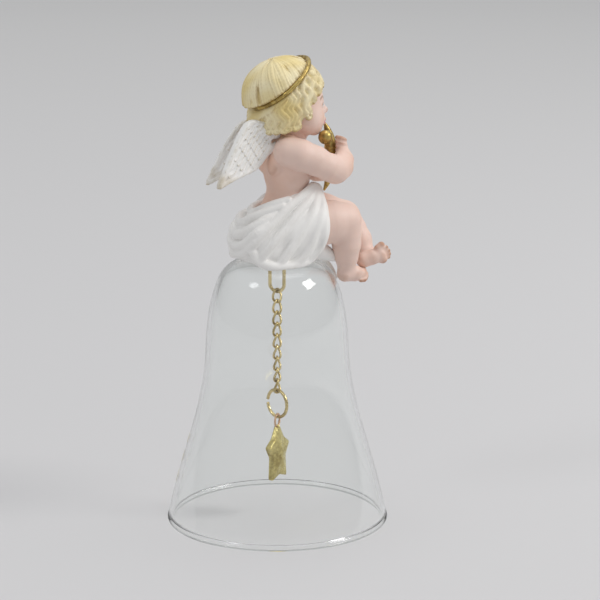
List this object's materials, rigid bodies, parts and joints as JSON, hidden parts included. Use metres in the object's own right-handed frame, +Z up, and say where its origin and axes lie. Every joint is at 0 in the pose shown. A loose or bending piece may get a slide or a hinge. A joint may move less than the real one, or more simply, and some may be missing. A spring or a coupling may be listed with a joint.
{
  "type": "glass table bell",
  "caption": "Clear flared glass table bell with a seated painted cherub on its crown and a star clapper hung on a brass chain.",
  "frame": {"origin": "on the bell's axis, in the plane that the rim rests on", "axes": "+Z up the bell's axis, +X the way the cherub faces, +Y to the cherub's left"},
  "size_m": [0.0769, 0.076, 0.1592],
  "materials": {
    "clear_glass": "clear blown soda-lime glass, fire polished",
    "epoxy_glue": "clear-cream epoxy squeeze-out",
    "white_resin": "cold-cast resin painted satin white",
    "painted_skin": "cold-cast resin, hand painted pale flesh with a warm wash in the creases",
    "painted_hair": "cold-cast resin, painted pale blond with an ochre wash in the grooves",
    "feather_white": "cold-cast resin, white with an olive-brown wash between the feathers",
    "gold_paint": "gold metallic paint over resin, worn at the edges",
    "brass_wire": "brass-plated steel wire, bright",
    "brass_star": "cast brass, lightly tumbled",
    "copper_wire": "copper-coloured wire"
  },
  "bodies": {
    "bell": {"glass_bell": "clear_glass", "glue_bed": "epoxy_glue", "mounting_stem": "white_resin", "hanger_staple": "brass_wire", "cherub_torso": "painted_skin", "cherub_head": "painted_skin", "cherub_hair": "painted_hair", "hair_band": "gold_paint", "right_arm": "painted_skin", "left_arm": "painted_skin", "right_leg": "painted_skin", "left_leg": "painted_skin", "right_wing": "feather_white", "left_wing": "feather_white", "drape": "white_resin", "crescent_moon": "gold_paint", "moon_knob": "gold_paint"},
    "link_1": {"chain_link_1": "brass_wire"},
    "link_2": {"chain_link_2": "brass_wire"},
    "link_3": {"chain_link_3": "brass_wire"},
    "link_4": {"chain_link_4": "brass_wire"},
    "link_5": {"chain_link_5": "brass_wire"},
    "link_6": {"chain_link_6": "brass_wire"},
    "link_7": {"chain_link_7": "brass_wire"},
    "link_8": {"chain_link_8": "brass_wire"},
    "link_9": {"chain_link_9": "brass_wire"},
    "ring": {"jump_ring": "brass_wire"},
    "clapper": {"star_eye": "copper_wire", "star_clapper": "brass_star"}
  },
  "joints": [
    {"name": "link_1_swing", "type": "hinge", "parent": "bell", "child": "link_1", "pos_m": [0, 0, 0.0796], "axis": [0.6428, -0.766, 0], "range_deg": [-18, 18]},
    {"name": "link_2_swing", "type": "hinge", "parent": "link_1", "child": "link_2", "pos_m": [0, 0, 0.07671], "axis": [-0.6293, -0.7771, 0], "range_deg": [-18, 18]},
    {"name": "link_3_swing", "type": "hinge", "parent": "link_2", "child": "link_3", "pos_m": [0, 0, 0.07192], "axis": [-0.7771, 0.6293, 0], "range_deg": [-20, 20]},
    {"name": "link_4_swing", "type": "hinge", "parent": "link_3", "child": "link_4", "pos_m": [0, 0, 0.06883], "axis": [0.454, 0.891, 0], "range_deg": [-20, 20]},
    {"name": "link_5_swing", "type": "hinge", "parent": "link_4", "child": "link_5", "pos_m": [0, 0, 0.06404], "axis": [-0.891, 0.454, 0], "range_deg": [-25, 25]},
    {"name": "link_6_swing", "type": "hinge", "parent": "link_5", "child": "link_6", "pos_m": [0, 0, 0.06095], "axis": [-0.2588, -0.9659, 0], "range_deg": [-25, 25]},
    {"name": "link_7_swing", "type": "hinge", "parent": "link_6", "child": "link_7", "pos_m": [0, 0, 0.05616], "axis": [0.9659, -0.2588, 0], "range_deg": [-28, 28]},
    {"name": "link_8_swing", "type": "hinge", "parent": "link_7", "child": "link_8", "pos_m": [0, 0, 0.05307], "axis": [0.0523, 0.9986, 0], "range_deg": [-28, 28]},
    {"name": "link_9_swing", "type": "hinge", "parent": "link_8", "child": "link_9", "pos_m": [0, 0, 0.04828], "axis": [0.9986, -0.0523, 0], "range_deg": [-35, 35]},
    {"name": "ring_swing", "type": "hinge", "parent": "link_9", "child": "ring", "pos_m": [0, 0, 0.04434], "axis": [-0.9986, -0.0523, 0], "range_deg": [-35, 35]},
    {"name": "clapper_swing", "type": "hinge", "parent": "ring", "child": "clapper", "pos_m": [0, 0, 0.03574], "axis": [0.3907, -0.9205, 0], "range_deg": [-40, 40]}
  ]
}
